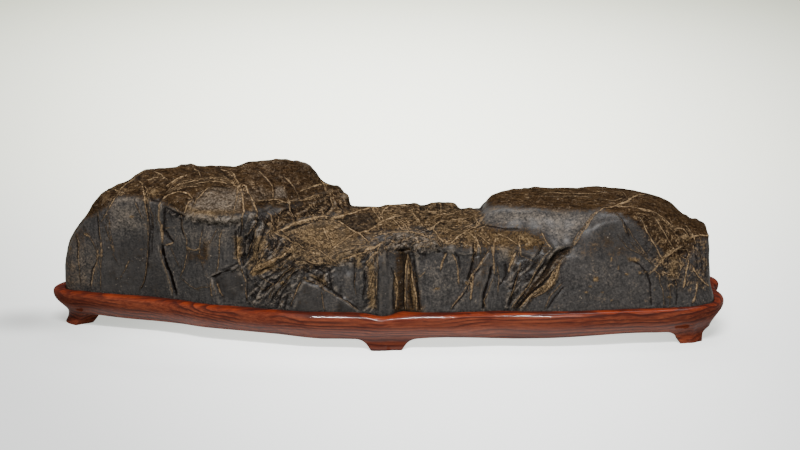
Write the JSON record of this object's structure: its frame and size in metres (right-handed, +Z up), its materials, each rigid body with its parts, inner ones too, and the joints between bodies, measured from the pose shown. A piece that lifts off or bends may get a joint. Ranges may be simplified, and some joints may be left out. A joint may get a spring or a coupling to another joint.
{
  "type": "scholars rock",
  "caption": "Long dark viewing stone with a high block, a low saddle and a flat-topped block, resting in a carved hardwood stand that follows its foot.",
  "frame": {"origin": "centre of the bounding box's bottom, on the surface that the feet stand on", "axes": "+X along the length of the stone, towards the flat-topped block; -Y towards the front of the stone; +Z up"},
  "size_m": [0.515, 0.1318, 0.1238],
  "materials": {
    "dark_stone": "natural broken faces with brown veins, softly polished by handling",
    "red_hardwood": "oiled red-brown hardwood, satin"
  },
  "bodies": {
    "root": {"stone": "dark_stone", "stand": "red_hardwood"}
  },
  "joints": []
}
